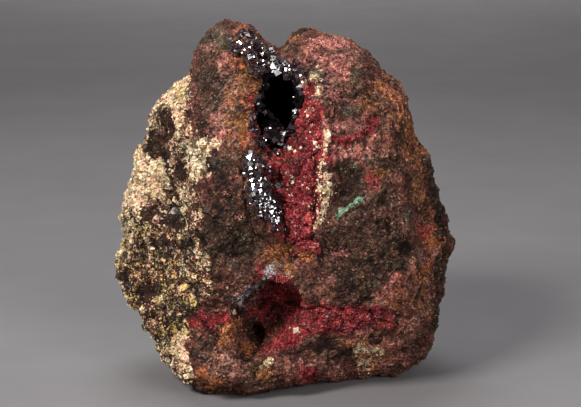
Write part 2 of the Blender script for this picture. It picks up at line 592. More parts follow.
class Effects:
    """The shader node groups that several of the specimen's materials use."""

    def __init__(self) -> None:
        """Build the groups once."""
        self.mottle = self._mottle()
        self.patch = self._patch()
        self.grit = self._grit()
        self.specks = self._specks()

    @staticmethod
    def _group(name: str, inputs: dict[str, str], outputs: dict[str, str]) -> tuple[object, Wiring, object, object]:
        """An empty group.

        Args:
            name: what the effect is.
            inputs: its inputs' names and socket types.
            outputs: its outputs' names and socket types.

        Returns:
            The group, its wiring, and its input and output nodes.
        """
        tree = bpy.data.node_groups.new(name, "ShaderNodeTree")
        for label, kind in inputs.items():
            tree.interface.new_socket(label, in_out="INPUT", socket_type=kind)
        for label, kind in outputs.items():
            tree.interface.new_socket(label, in_out="OUTPUT", socket_type=kind)
        wiring = Wiring(tree)
        return tree, wiring, wiring.add("NodeGroupInput"), wiring.add("NodeGroupOutput")

    def _mottle(self) -> bpy.types.NodeTree:
        """Three shades of a mineral in uneven spots."""
        colour, value, place = "NodeSocketColor", "NodeSocketFloat", "NodeSocketVector"
        tree, wiring, given, made = self._group(
            "mottled_mineral",
            {"Place": place, "Deep": colour, "Middle": colour, "Pale": colour, "Scale": value},
            {"Color": colour},
        )
        coarse = wiring.noise(given.outputs["Place"], given.outputs["Scale"], 5.0, 0.62)
        finer = wiring.math("MULTIPLY", given.outputs["Scale"], 4.7)
        fine = wiring.noise(given.outputs["Place"], finer, 3.0, 0.7)
        both = wiring.math("ADD", wiring.math("MULTIPLY", coarse, 0.45), wiring.math("MULTIPLY", fine, 0.55))
        lower = wiring.blend(wiring.ramp(both, 0.38, 0.5), given.outputs["Deep"], given.outputs["Middle"])
        wiring.feed(made.inputs[0], wiring.blend(wiring.ramp(both, 0.5, 0.62), lower, given.outputs["Pale"]))
        return tree

    def _patch(self) -> bpy.types.NodeTree:
        """A mineral's patch that frays at its edge into single grains."""
        value, place = "NodeSocketFloat", "NodeSocketVector"
        tree, wiring, given, made = self._group(
            "frayed_patch",
            {"Place": place, "Weight": value, "Scale": value, "Ragged": value, "Grain Scale": value, "Grainy": value},
            {"Mask": value},
        )
        ragged = wiring.math("SUBTRACT", wiring.noise(given.outputs["Place"], given.outputs["Scale"], 5.0, 0.68), 0.5)
        ragged = wiring.math("MULTIPLY", ragged, given.outputs["Ragged"])
        cells = wiring.cells(given.outputs["Place"], given.outputs["Grain Scale"])
        tone = wiring.add("ShaderNodeSeparateColor")
        wiring.feed(tone.inputs[0], cells.outputs[1])
        grains = wiring.math("SUBTRACT", tone.outputs[0], 0.5)
        grains = wiring.math("MULTIPLY", grains, given.outputs["Grainy"])
        level = wiring.math("ADD", wiring.math("ADD", given.outputs["Weight"], -0.5), wiring.math("ADD", ragged, grains))
        present = wiring.math("MULTIPLY", given.outputs["Weight"], 5.0, clamp=True)
        wiring.feed(made.inputs[0], wiring.math("MULTIPLY", wiring.ramp(level, -0.06, 0.06), present))
        return tree

    def _grit(self) -> bpy.types.NodeTree:
        """The height and the light and dark of a gritty, finely crystalline surface."""
        value, place = "NodeSocketFloat", "NodeSocketVector"
        tree, wiring, given, made = self._group(
            "grit", {"Place": place, "Scale": value}, {"Height": value, "Shade": value}
        )
        cells = wiring.cells(given.outputs["Place"], given.outputs["Scale"])
        grains = wiring.math("SUBTRACT", 1.0, cells.outputs[0])
        rough = wiring.noise(given.outputs["Place"], wiring.math("MULTIPLY", given.outputs["Scale"], 0.6), 5.0, 0.75)
        height = wiring.math("ADD", wiring.math("MULTIPLY", grains, 0.2), wiring.math("MULTIPLY", rough, 1.2))
        wiring.feed(made.inputs["Height"], height)
        tone = wiring.add("ShaderNodeSeparateColor")
        wiring.feed(tone.inputs[0], cells.outputs[1])
        fine = wiring.noise(given.outputs["Place"], wiring.math("MULTIPLY", given.outputs["Scale"], 0.8), 3.0, 0.7)
        shade = wiring.math("ADD", wiring.math("MULTIPLY", tone.outputs[0], 0.6), wiring.ramp(fine, 0.38, 0.62))
        wiring.feed(made.inputs["Shade"], wiring.math("MULTIPLY", shade, 0.62))
        return tree

    def _specks(self) -> bpy.types.NodeTree:
        """Small grains of something else, strewn over the surface."""
        value, place = "NodeSocketFloat", "NodeSocketVector"
        tree, wiring, given, made = self._group(
            "specks", {"Place": place, "Scale": value, "Share": value, "Reach": value}, {"Mask": value}
        )
        cells = wiring.cells(given.outputs["Place"], given.outputs["Scale"])
        tone = wiring.add("ShaderNodeSeparateColor")
        wiring.feed(tone.inputs[0], cells.outputs[1])
        chosen = wiring.math("LESS_THAN", tone.outputs[1], given.outputs["Share"])
        close = wiring.math("LESS_THAN", cells.outputs[0], given.outputs["Reach"])
        wiring.feed(made.inputs[0], wiring.math("MULTIPLY", chosen, close))
        return tree


@dataclass(frozen=True)
class Shades:
    """A mineral's three shades as displays show them, and how many of its spots fit in a metre."""

    deep: tuple[int, int, int]
    middle: tuple[int, int, int]
    pale: tuple[int, int, int]
    scale: float = 500.0


class Finish:
    """What the specimen's finishes share: a Principled shader and the effects placed around it."""

    def __init__(self, name: str, effects: Effects) -> None:
        """Start a material."""
        self.material = bpy.data.materials.new(name)
        self.material.use_nodes = True
        self.wiring = Wiring(self.material.node_tree)
        self.shader = self.material.node_tree.nodes["Principled BSDF"]
        self.effects = effects
        self.place = self.wiring.add("ShaderNodeTexCoord").outputs["Object"]

    def effect(self, group: bpy.types.NodeTree, inputs: dict[str, object]) -> bpy.types.Node:
        """A group placed in the material with these inputs."""
        node = self.wiring.add("ShaderNodeGroup", node_tree=group)
        self.wiring.feed(node.inputs["Place"], self.place)
        for label, value in inputs.items():
            self.wiring.feed(node.inputs[label], value)
        return node

    def mottled(self, shades: Shades) -> object:
        """A mineral's mottled colour."""
        node = self.effect(self.effects.mottle, {
            "Deep": srgb(*shades.deep), "Middle": srgb(*shades.middle), "Pale": srgb(*shades.pale),
            "Scale": shades.scale,
        })
        return node.outputs[0]

    def toned(self, colour: object, tone: object) -> object:
        """A colour made darker or paler by a tone around 1."""
        grey = self.wiring.add("ShaderNodeCombineColor")
        for socket in grey.inputs:
            self.wiring.feed(socket, tone)
        return self.wiring.blend(1.0, colour, grey.outputs[0], "MULTIPLY")

    def attribute(self, name: str) -> object:
        """The value of an attribute of the mesh."""
        return self.wiring.add("ShaderNodeAttribute", attribute_name=name).outputs["Fac"]

    def bump(self, height: object, depth: float) -> None:
        """Raise the surface by a height; depth is in millimetres."""
        node = self.wiring.add("ShaderNodeBump")
        self.wiring.feed(node.inputs["Distance"], depth * MM)
        self.wiring.feed(node.inputs["Height"], height)
        self.wiring.feed(self.shader.inputs["Normal"], node.outputs[0])


@dataclass(frozen=True)
class RockFinish:
    """The host rock: a mauve-brown ground under plates and skins of other minerals, in this order."""

    ground: Shades = Shades((46, 27, 22), (95, 60, 51), (156, 106, 90), 420.0)
    minerals: dict[Mineral, Shades] = field(default_factory=lambda: {
        Mineral.OLIVE: Shades((38, 32, 25), (78, 66, 53), (126, 110, 90), 380.0),
        Mineral.PINK: Shades((94, 54, 49), (150, 98, 89), (208, 156, 142), 480.0),
        Mineral.OCHRE: Shades((76, 40, 23), (144, 86, 52), (204, 144, 96), 520.0),
        Mineral.CREAM: Shades((128, 98, 72), (212, 180, 144), (252, 236, 210), 330.0),
        Mineral.YELLOW: Shades((168, 124, 72), (222, 184, 116), (246, 224, 168), 500.0),
        Mineral.CRIMSON: Shades((64, 14, 18), (132, 36, 42), (182, 76, 74), 640.0),
        Mineral.DARK: Shades((22, 12, 8), (52, 32, 23), (94, 64, 48), 520.0),
        Mineral.VERDIGRIS: Shades((72, 88, 76), (114, 140, 122), (162, 184, 166), 700.0),
        Mineral.FROST: Shades((98, 88, 84), (158, 152, 150), (220, 218, 216), 800.0),
    })
    ragged: float = 1.9
    grainy: float = 0.5
    patch_scale: float = 250.0
    patch_scale_step: float = 0.13
    grain_scale: float = 1500.0
    grain_scale_step: float = 0.06
    grit_scale: float = 1700.0
    grit_depth: float = 0.5
    darkest_tone: float = 0.2
    tone_range: float = 1.72
    broad_scale: float = 170.0
    broad_range: float = 0.85
    tint_scale: float = 125.0
    olive_tint: tuple[float, float, float, float] = (0.76, 0.84, 0.74, 1.0)
    mauve_tint: tuple[float, float, float, float] = (1.08, 0.91, 0.93, 1.0)
    hollow_shade: float = 0.8
    roughness: float = 0.78
    gloss: float = 0.25

    def material(self, effects: Effects) -> bpy.types.Material:
        """Make the material.

        Args:
            effects: the shared node groups.

        Returns:
            The rock's material, which reads the minerals' attributes and the hollows'.
        """
        finish = Finish("host_rock", effects)
        wiring = finish.wiring
        colour = finish.mottled(self.ground)
        for number, (mineral, shades) in enumerate(self.minerals.items()):
            patch = finish.effect(effects.patch, {
                "Weight": finish.attribute(mineral.value),
                "Scale": self.patch_scale * (1.0 + self.patch_scale_step * number),
                "Ragged": self.ragged,
                "Grain Scale": self.grain_scale * (1.0 + self.grain_scale_step * number),
                "Grainy": self.grainy,
            })
            colour = wiring.blend(patch.outputs[0], colour, finish.mottled(shades))
        tint = wiring.ramp(wiring.noise(finish.place, self.tint_scale, 3.0, 0.6), 0.42, 0.58)
        tint = wiring.blend(tint, self.olive_tint, self.mauve_tint)
        colour = wiring.blend(1.0, colour, tint, "MULTIPLY")
        grit = finish.effect(effects.grit, {"Scale": self.grit_scale})
        tone = wiring.math("MULTIPLY", grit.outputs["Shade"], self.tone_range)
        colour = finish.toned(colour, wiring.math("ADD", tone, self.darkest_tone))
        broad = wiring.ramp(wiring.noise(finish.place, self.broad_scale, 4.0, 0.6), 0.36, 0.64)
        broad = wiring.math("MULTIPLY", wiring.math("SUBTRACT", broad, 0.5), self.broad_range)
        colour = finish.toned(colour, wiring.math("ADD", broad, 1.0))
        hollow = wiring.math("MULTIPLY", finish.attribute("hollow"), self.hollow_shade)
        colour = finish.toned(colour, wiring.math("SUBTRACT", 1.0, hollow))
        dark = finish.effect(effects.specks, {"Scale": 900.0, "Share": 0.13, "Reach": 0.42})
        colour = wiring.blend(wiring.math("MULTIPLY", dark.outputs[0], 0.7), colour, srgb(26, 19, 17))
        pale = finish.effect(effects.specks, {"Scale": 1500.0, "Share": 0.05, "Reach": 0.4})
        colour = wiring.blend(wiring.math("MULTIPLY", pale.outputs[0], 0.22), colour, srgb(222, 200, 180))
        wiring.feed(finish.shader.inputs["Base Color"], colour)
        finish.shader.inputs["Roughness"].default_value = self.roughness
        finish.shader.inputs["Specular IOR Level"].default_value = self.gloss
        finish.bump(grit.outputs["Height"], self.grit_depth)
        return finish.material


@dataclass(frozen=True)
class GrainFinish:
    """Crystals or grains of one mineral: their shades, how rough they are and how strongly they reflect."""

    name: str
    shades: Shades
    roughness: float
    index: float
    darkest_tone: float = 0.35
    bump_depth: float = 0.03

    def material(self, effects: Effects) -> bpy.types.Material:
        """Make the material.

        Args:
            effects: the shared node groups.

        Returns:
            The crystals' material.
        """
        finish = Finish(self.name, effects)
        wiring = finish.wiring
        grit = finish.effect(effects.grit, {"Scale": 1900.0})
        tone = wiring.math("MULTIPLY", grit.outputs["Shade"], 2.2 * (1.0 - self.darkest_tone))
        tone = wiring.math("ADD", tone, self.darkest_tone)
        wiring.feed(finish.shader.inputs["Base Color"], finish.toned(finish.mottled(self.shades), tone))
        finish.shader.inputs["IOR"].default_value = self.index
        rough = wiring.math("ADD", wiring.math("MULTIPLY", grit.outputs["Shade"], self.roughness), self.roughness * 0.5)
        wiring.feed(finish.shader.inputs["Roughness"], rough)
        finish.bump(grit.outputs["Height"], self.bump_depth)
        return finish.material


# The rock


@dataclass
class HostRock:
    """The broken lump of host rock, with the fine relief that its solid leaves out."""

    voxel: float = 1.1
    front_ends: float = 6.0
    facing_front: float = 0.3
    crags: tuple[tuple[float, float, int], ...] = ((6.5, 0.8, 3), (1.9, 0.42, 2))
    plate_size: float = 2.7
    plate_height: float = 1.1
    facet_height: float = 0.17
    cream_roughness: float = 1.0
    ridge: Vein = Vein(((11.4, 69.0, 0.9), (10.4, 62.0, 0.9), (11.4, 56.0, 2.0), (11.0, 50.0, 1.3), (9.6, 42.0, 1.0)))
    ridge_height: float = 1.1
    crust_room: float = 1.6
    quiet: float = 0.5
    deepest: float = 0.75

    def build(self, material: bpy.types.Material, crusts: BVHTree) -> bpy.types.Object:
        """Model the rock.

        Args:
            material: the rock's finish.
            crusts: the crusts' surfaces, close to which the rock keeps its place.

        Returns:
            The finished rock.
        """
        bm = remeshed(node_copy("matrix"), self.voxel)
        self._refine(bm)
        self._roughen(bm, crusts)
        rock = finish_piece("host_rock", bm, [material], "matrix", ["matrix"])
        carry_minerals(rock)
        return rock

    def _refine(self, bm: bmesh.types.BMesh) -> None:
        """Make the faces of the front half as large."""
        front = [
            face for face in bm.faces
            if face.calc_center_median().y < self.front_ends and face.normal.y < self.facing_front
        ]
        edges = list(dict.fromkeys(edge for face in front for edge in face.edges))
        bmesh.ops.subdivide_edges(bm, edges=edges, cuts=1, use_grid_fill=True)
        bmesh.ops.smooth_vert(bm, verts=bm.verts, factor=0.5, use_axis_x=True, use_axis_y=True, use_axis_z=True)
        bm.normal_update()

    def _roughen(self, bm: bmesh.types.BMesh, crusts: BVHTree) -> None:
        """Raise crags, plates and grains, and leave the rock calm under the crusts and where it rests."""
        points = corners_of(bm)
        height = np.zeros(len(points))
        for number, (size, rise, octaves) in enumerate(self.crags):
            height += rise * fractal(points, size, octaves, 11.0 * number)
        nearest = [noise.voronoi(Vector(p))[0] for p in (points / self.plate_size).tolist()]
        gaps = np.array([near[1] - near[0] for near in nearest])
        height += self.plate_height * (np.clip(gaps, 0.0, 0.42) - 0.2)
        cream = PATCHES[Mineral.CREAM][0].weights(*VIEW.places(points))
        height *= 1.0 + self.cream_roughness * cream
        height += self.facet_height * np.random.default_rng(21).uniform(-1.0, 1.0, len(points))
        room = np.array([crusts.find_nearest(Vector(p))[3] for p in points.tolist()])
        calm = smooth_step(0.0, self.crust_room, room)
        height = height * calm - self.quiet * (1.0 - calm)
        height += self.ridge_height * self.ridge.weights(*VIEW.places(points)) * (points[:, 1] < 0.0)
        height *= smooth_step(0.05, 1.0, points[:, 2])
        hollow = bm.verts.layers.float.new("hollow")
        for vertex, normal, rise in [(v, v.normal.copy(), h) for v, h in zip(bm.verts, height.tolist())]:
            vertex.co += normal * rise
            vertex[hollow] = min(max(-rise / self.deepest, 0.0), 1.0)
        bm.normal_update()


# Crystals


class Form(Enum):
    """The shapes that the crystals and grains have."""

    OCTAHEDRON = "octahedron"
    CUBE = "cube"
    CUT_OCTAHEDRON = "octahedron with cut corners"


FORMS_OF_CUPRITE = ((Form.OCTAHEDRON, 0.5), (Form.CUT_OCTAHEDRON, 0.28), (Form.CUBE, 0.22))
FORMS_OF_DRUSE = ((Form.OCTAHEDRON, 0.8), (Form.CUBE, 0.2))
FORMS_OF_GRAINS = ((Form.OCTAHEDRON, 0.6), (Form.CUBE, 0.4))
FORMS_OF_LUMPS = ((Form.CUBE, 0.55), (Form.CUT_OCTAHEDRON, 0.45))


@dataclass(frozen=True)
class Crystal:
    """One crystal: its form, half its width, and where it stands and how it is turned."""

    form: Form
    size: float
    place: Matrix

    def grow(self, bm: bmesh.types.BMesh) -> None:
        """Add it to a mesh."""
        if self.form is Form.CUBE:
            bmesh.ops.create_cube(bm, size=1.3 * self.size, matrix=self.place)
            return
        made = bmesh.ops.create_uvsphere(bm, u_segments=4, v_segments=2, radius=self.size, matrix=self.place)
        if self.form is Form.CUT_OCTAHEDRON:
            bmesh.ops.bevel(
                bm, geom=made["verts"], offset=0.42 * self.size, affect="VERTICES", segments=1, profile=0.5,
                material=-1,
            )


def grown(crystals: list[Crystal], batch: int = 80) -> bmesh.types.BMesh:
    """A mesh of many crystals.

    Args:
        crystals: what grows.
        batch: how many grow in one go.

    Returns:
        The mesh, in millimetres.
    """
    whole = bmesh.new()
    for start in range(0, len(crystals), batch):
        part = bmesh.new()
        for crystal in crystals[start:start + batch]:
            crystal.grow(part)
        add_mesh(whole, part)
    return whole


def add_mesh(whole: bmesh.types.BMesh, part: bmesh.types.BMesh, material: int = 0) -> None:
    """Add one mesh to another.

    Args:
        whole: the mesh that grows.
        part: what it takes in, which is freed.
        material: the material slot of the part's faces.
    """
    for face in part.faces:
        face.material_index = material
    mesh = bpy.data.meshes.new("part")
    part.to_mesh(mesh)
    part.free()
    whole.from_mesh(mesh)
    bpy.data.meshes.remove(mesh)


def turned(draw: random.Random, normal: Vector, lean: float) -> Matrix:
    """A random turn for a crystal that stands on a surface.

    Args:
        draw: the random numbers.
        normal: the surface's direction.
        lean: how far it may lean over, in radians.

    Returns:
        The turn.
    """
    spin = Matrix.Rotation(draw.uniform(0.0, math.tau), 3, "Z")
    tip = Matrix.Rotation(draw.uniform(-lean, lean), 3, "X")
    return (normal.to_track_quat("Z", "Y").to_matrix() @ spin @ tip).to_4x4()


def drawn_size(draw: random.Random, smallest: float, largest: float) -> float:
    """A crystal's size; most are small."""
    return smallest + (largest - smallest) * draw.random() ** 2.2


@dataclass
class Crust:
    """Crystals grown together on a thin layer, which stand for one of the model's crusts."""

    name: str
    node: str
    slot: str
    count: int
    smallest: float
    largest: float
    forms: tuple[tuple[Form, float], ...]
    seed: int
    voxel: float = 0.45
    layer_size: float = 1.1
    layer_rise: float = 0.35
    shift: float = 0.0
    clear_of_rock: float = 0.3
    facing_out: float = -0.25
    patches: tuple[Spot | Vein, ...] = ()
    spared: tuple[Mineral, ...] = ()
    shelf: Vein | None = None
    shelf_rise: float = 4.5
    layer_finish: "GrainFinish | None" = None

    def build(self, ground: bpy.types.Material, crystal: bpy.types.Material, rock: BVHTree) -> bpy.types.Object:
        """Model the crust.

        Args:
            ground: the finish of the layer that the crystals stand on.
            crystal: the crystals' finish.
            rock: the rock's surface, from which the crystals point away.

        Returns:
            The finished crust.
        """
        draw = random.Random(self.seed)
        bm = remeshed(node_copy(self.node), self.voxel)
        points = corners_of(bm)
        rises = self.layer_rise * fractal(points, self.layer_size, 2, self.seed)
        shifts = np.full(len(points), self.shift)
        if self.shelf:
            shifts -= self.shelf_rise * self.shelf.weights(*VIEW.places(points))
        hollow = bm.verts.layers.float.new("hollow")
        moves = [(v, v.normal.copy(), h, s) for v, h, s in zip(bm.verts, rises.tolist(), shifts.tolist())]
        for vertex, normal, rise, shift in moves:
            nearest = rock.find_nearest(vertex.co)[0]
            vertex.co += normal * rise + (nearest - vertex.co).normalized() * shift
            vertex[hollow] = min(max(-rise / self.layer_rise, 0.0), 1.0)
        bm.normal_update()
        faces = [face for face in bm.faces if self._stands_out(face, rock)]
        chances = np.array([face.calc_area() * (1.0 - face.verts[0][hollow]) ** 2 for face in faces])
        middles = np.array([face.calc_center_median() for face in faces])
        if self.patches:
            chances *= np.max([patch.weights(*VIEW.places(middles)) for patch in self.patches], axis=0) + 0.02
        if self.spared:
            minerals = MAP.weights(middles)
            for mineral in self.spared:
                chances *= (1.0 - minerals[mineral]) ** 2 + 0.02
        crystals = []
        for face in draw.choices(faces, chances.tolist(), k=self.count):
            size = drawn_size(draw, self.smallest, self.largest)
            spot = face.calc_center_median() + face.normal * 0.25 * size
            form = draw.choices(*zip(*self.forms))[0]
            crystals.append(Crystal(form, size, Matrix.Translation(spot) @ turned(draw, face.normal, 0.7)))
        add_mesh(bm, grown(crystals), 1)
        piece = finish_piece(self.name, bm, [ground, crystal], self.slot, [self.node])
        carry_minerals(piece)
        return piece

    def _stands_out(self, face: bmesh.types.BMFace, rock: BVHTree) -> bool:
        """Whether a face of the layer looks away from the rock."""
        middle = face.calc_center_median()
        nearest, _, _, distance = rock.find_nearest(middle)
        return distance > self.clear_of_rock and face.normal.dot(middle - nearest) > self.facing_out * distance


class Ground:
    """The rock and the crusts' layers, on which loose growths stand, by their faces.

    It holds each face's middle, normal, area, share of a hollow and minerals. The crusts' own crystals,
    whose finish comes second, aren't part of it.
    """

    def __init__(self, pieces: Iterable[bpy.types.Object]) -> None:
        """Read them from finished pieces."""
        middles, normals, areas, hollows = [], [], [], []
        for piece in pieces:
            mesh = piece.data
            faces = mesh.polygons
            middle, normal, area = (np.empty(len(faces) * width, np.float32) for width in (3, 3, 1))
            faces.foreach_get("center", middle)
            faces.foreach_get("normal", normal)
            faces.foreach_get("area", area)
            finishes = np.empty(len(faces), np.int32)
            faces.foreach_get("material_index", finishes)
            bare = finishes == 0
            middles.append(middle.reshape(-1, 3)[bare] / MM)
            normals.append(normal.reshape(-1, 3)[bare])
            areas.append(area[bare] / MM ** 2)
            depths = np.empty(len(mesh.vertices), np.float32)
            mesh.attributes["hollow"].data.foreach_get("value", depths)
            corners = np.empty(len(mesh.loops), np.int32)
            mesh.loops.foreach_get("vertex_index", corners)
            firsts = np.empty(len(faces), np.int32)
            faces.foreach_get("loop_start", firsts)
            hollows.append(depths[corners[firsts]][bare])
        self.middles = np.concatenate(middles)
        self.normals = np.concatenate(normals)
        self.areas = np.concatenate(areas).astype(float)
        self.hollows = np.concatenate(hollows).astype(float)
        self.minerals = MAP.weights(self.middles)


@dataclass
class Growth:
    """Crystals or grains strewn over the specimen, on its front inside patches or all around."""

    name: str
    slot: str
    count: int
    smallest: float
    largest: float
    forms: tuple[tuple[Form, float], ...]
    seed: int
    mineral: Mineral | None = None
    spared: tuple[Mineral, ...] = ()
    patches: tuple[Spot | Vein | Field, ...] = ()
    clump: float = 0.0
    stands_above: float = 0.6
    front_ends: float = 14.0
    back_share: float = 0.45

    def build(self, material: bpy.types.Material, ground: Ground, with_minerals: bool = False) -> bpy.types.Object:
        """Model the growth.

        Args:
            material: its finish.
            ground: what it stands on.
            with_minerals: whether its finish reads the minerals' attributes.

        Returns:
            The finished piece.
        """
        draw = random.Random(self.seed)
        picked = np.random.default_rng(self.seed).choice(len(ground.areas), self.count, p=self._chances(ground))
        crystals = []
        for index in picked.tolist():
            size = drawn_size(draw, self.smallest, self.largest)
            normal = Vector(ground.normals[index].tolist())
            spot = Vector(ground.middles[index].tolist()) + normal * size * (self.stands_above - 0.5)
            form = draw.choices(*zip(*self.forms))[0]
            crystals.append(Crystal(form, size, Matrix.Translation(spot) @ turned(draw, normal, 1.2)))
        piece = finish_piece(self.name, grown(crystals), [material], self.slot)
        if with_minerals:
            carry_minerals(piece)
        return piece

    def _chances(self, ground: Ground) -> np.ndarray:
        """How likely each face of the ground is to carry a grain."""
        chances = ground.areas * np.where(ground.middles[:, 1] < self.front_ends, 1.0, self.back_share)
        chances *= (1.0 - ground.hollows) ** 2
        if self.mineral:
            chances *= ground.minerals[self.mineral] ** 2
        for mineral in self.spared:
            chances *= (1.0 - ground.minerals[mineral]) ** 2
        if self.patches:
            places = VIEW.places(ground.middles)
            chances *= np.max([patch.weights(*places) for patch in self.patches], axis=0) ** 2
            chances *= ground.middles[:, 1] < self.front_ends
            chances *= ground.normals @ np.array(VIEW.back) > 0.0
        if self.clump:
            chances *= smooth_step(-0.15, 0.3, fractal(ground.middles, self.clump, 2, self.seed)) + 0.03
        chances *= ground.middles[:, 2] > 2.0 * self.largest
        return chances / chances.sum()


@dataclass(frozen=True)
class Standout:
    """A crystal that is larger or brighter than those around it: its place in the picture and half its width."""

    across: float
    up: float
    size: float


@dataclass
class Standouts:
    """Crystals that stand out: single ones, and bands of so many small ones."""

    name: str
    slot: str
    crystals: tuple[Standout, ...]
    bands: tuple[tuple[Vein, int], ...]
    smallest: float = 0.25
    largest: float = 0.7
    sink: float = 0.15
    wobble: float = 0.16
    seed: int = 17

    def build(
        self, material: bpy.types.Material, pieces: Iterable[bpy.types.Object], lamps: Iterable[Vector]
    ) -> None:
        """Model them, each with one face that mirrors a lamp to the camera.

        Args:
            material: their finish.
            pieces: what they stand on.
            lamps: where the lamps are; a crystal takes the first that shines on it.
        """
        draw = random.Random(self.seed)
        bm = bmesh.new()
        for piece in pieces:
            bm.from_mesh(piece.data)
        bmesh.ops.scale(bm, vec=(1 / MM, 1 / MM, 1 / MM), verts=bm.verts)
        surface = BVHTree.FromBMesh(bm)
        bm.free()
        found = []
        for crystal in [*self.crystals, *self._band_crystals(draw)]:
            eye, sight = VIEW.ray(crystal.across, crystal.up)
            hit = surface.ray_cast(eye, sight)[0]
            if hit is None:
                log.warning("nothing carries the crystal at (%.1f, %.1f)", crystal.across, crystal.up)
                continue
            for lamp in lamps:
                to_lamp = (lamp - hit).normalized()
                if surface.ray_cast(hit + to_lamp, to_lamp)[0] is None:
                    break
            catch = (to_lamp + (eye - hit).normalized()).normalized()
            upright = Vector((1.0, 1.0, 1.0)).rotation_difference(catch).to_matrix()
            spin = Matrix.Rotation(draw.uniform(0.0, math.tau), 3, catch)
            tip = Matrix.Rotation(draw.gauss(0.0, self.wobble), 3, VIEW.right)
            place = Matrix.Translation(hit - catch * self.sink * crystal.size)
            found.append(Crystal(Form.OCTAHEDRON, crystal.size, place @ (tip @ spin @ upright).to_4x4()))
        finish_piece(self.name, grown(found), [material], self.slot)

    def _band_crystals(self, draw: random.Random) -> list[Standout]:
        """The small crystals of the bands."""
        found = []
        for band, count in self.bands:
            for _ in range(count):
                run = draw.uniform(0.0, len(band.corners) - 1.001)
                start, end = band.corners[int(run)], band.corners[int(run) + 1]
                across, up, half = (a + (b - a) * (run % 1.0) for a, b in zip(start, end))
                size = drawn_size(draw, self.smallest, self.largest)
                found.append(Standout(across + draw.uniform(-half, half), up + draw.uniform(-half, half), size))
        return found


# The studio


@dataclass(frozen=True)
class Lamp:
    """A soft lamp: where it stands in millimetres, how wide it is, its watts, its colour and its aim."""

    name: str
    place: Vector
    width: float
    watts: float
    colour: tuple[float, float, float] = (1.0, 1.0, 1.0)
    aim: Vector = Vector((0.0, 0.0, 45.0))

    def build(self) -> None:
        """Hang the lamp."""
        data = bpy.data.lights.new(self.name, "AREA")
        data.shape = "DISK"
        data.size = self.width * MM
        data.energy = self.watts
        data.color = self.colour
        lamp = bpy.data.objects.new(self.name, data)
        lamp.location = self.place * MM
        lamp.rotation_mode = "QUATERNION"
        lamp.rotation_quaternion = (self.aim - self.place).to_track_quat("-Z", "Y")
        bpy.context.scene.collection.objects.link(lamp)


@dataclass
class Studio:
    """A plain pale floor that sweeps up behind the specimen, and soft light from the upper left."""

    key: Lamp = Lamp("key_lamp", Vector((-310.0, -450.0, 470.0)), 200.0, 5.1, (1.0, 0.965, 0.92))
    fill: Lamp = Lamp("fill_lamp", Vector((420.0, -780.0, 430.0)), 460.0, 4.0, (1.0, 0.97, 0.95))
    sky: Lamp = Lamp("top_lamp", Vector((-60.0, 160.0, 620.0)), 360.0, 1.9, (0.98, 0.98, 1.0))
    backdrop: Lamp = Lamp(
        "backdrop_lamp", Vector((0.0, 1150.0, 820.0)), 300.0, 9.0, (1.0, 0.98, 0.99), Vector((0.0, 1790.0, 330.0))
    )
    floor_shades: Shades = Shades((122, 120, 122), (126, 124, 126), (130, 128, 130), 4.0)
    floor_half_width: float = 2600.0
    floor_front: float = -1500.0
    floor_back: float = 1300.0
    sweep_height: float = 1500.0
    sweep_radius: float = 500.0
    world_grey: float = 0.13

    def build(self, effects: Effects) -> None:
        """Set up floor, lamps and surroundings.

        Args:
            effects: the shared node groups.
        """
        self._floor(effects)
        for lamp in (self.key, self.fill, self.sky, self.backdrop):
            lamp.build()
        world = bpy.data.worlds.new("surroundings")
        world.use_nodes = True
        world.node_tree.nodes["Background"].inputs[0].default_value = (self.world_grey,) * 3 + (1.0,)
        bpy.context.scene.world = world
        bpy.context.scene.view_settings.view_transform = "Standard"

    def _floor(self, effects: Effects) -> None:
        """One sheet that runs back from in front of the specimen and sweeps up behind it."""
        bm = bmesh.new()
        line = [Vector((0.0, self.floor_front, 0.0)), Vector((0.0, self.floor_back, 0.0))]
        for step in range(1, 13):
            angle = step / 12 * math.pi / 2
            forward, rise = math.sin(angle), 1.0 - math.cos(angle)
            line.append(Vector((0.0, self.floor_back + forward * self.sweep_radius, rise * self.sweep_radius)))
        line.append(Vector((0.0, line[-1].y, self.sweep_height)))
        left = Vector((-self.floor_half_width, 0.0, 0.0))
        verts = [bm.verts.new(point + left) for point in line]
        edges = [bm.edges.new(pair) for pair in zip(verts, verts[1:])]
        made = bmesh.ops.extrude_edge_only(bm, edges=edges)["geom"]
        moved = [v for v in made if isinstance(v, bmesh.types.BMVert)]
        bmesh.ops.translate(bm, verts=moved, vec=(2 * self.floor_half_width, 0.0, 0.0))
        bmesh.ops.recalc_face_normals(bm, faces=bm.faces)
        bmesh.ops.scale(bm, vec=(MM, MM, MM), verts=bm.verts)
        mesh = bpy.data.meshes.new("floor")
        bm.to_mesh(mesh)
        bm.free()
        mesh.shade_smooth()
        floor = bpy.data.objects.new("floor", mesh)
        bpy.context.scene.collection.objects.link(floor)
        finish = Finish("pale_floor", effects)
        finish.wiring.feed(finish.shader.inputs["Base Color"], finish.mottled(self.floor_shades))
        finish.shader.inputs["Roughness"].default_value = 0.6
        mesh.materials.append(finish.material)


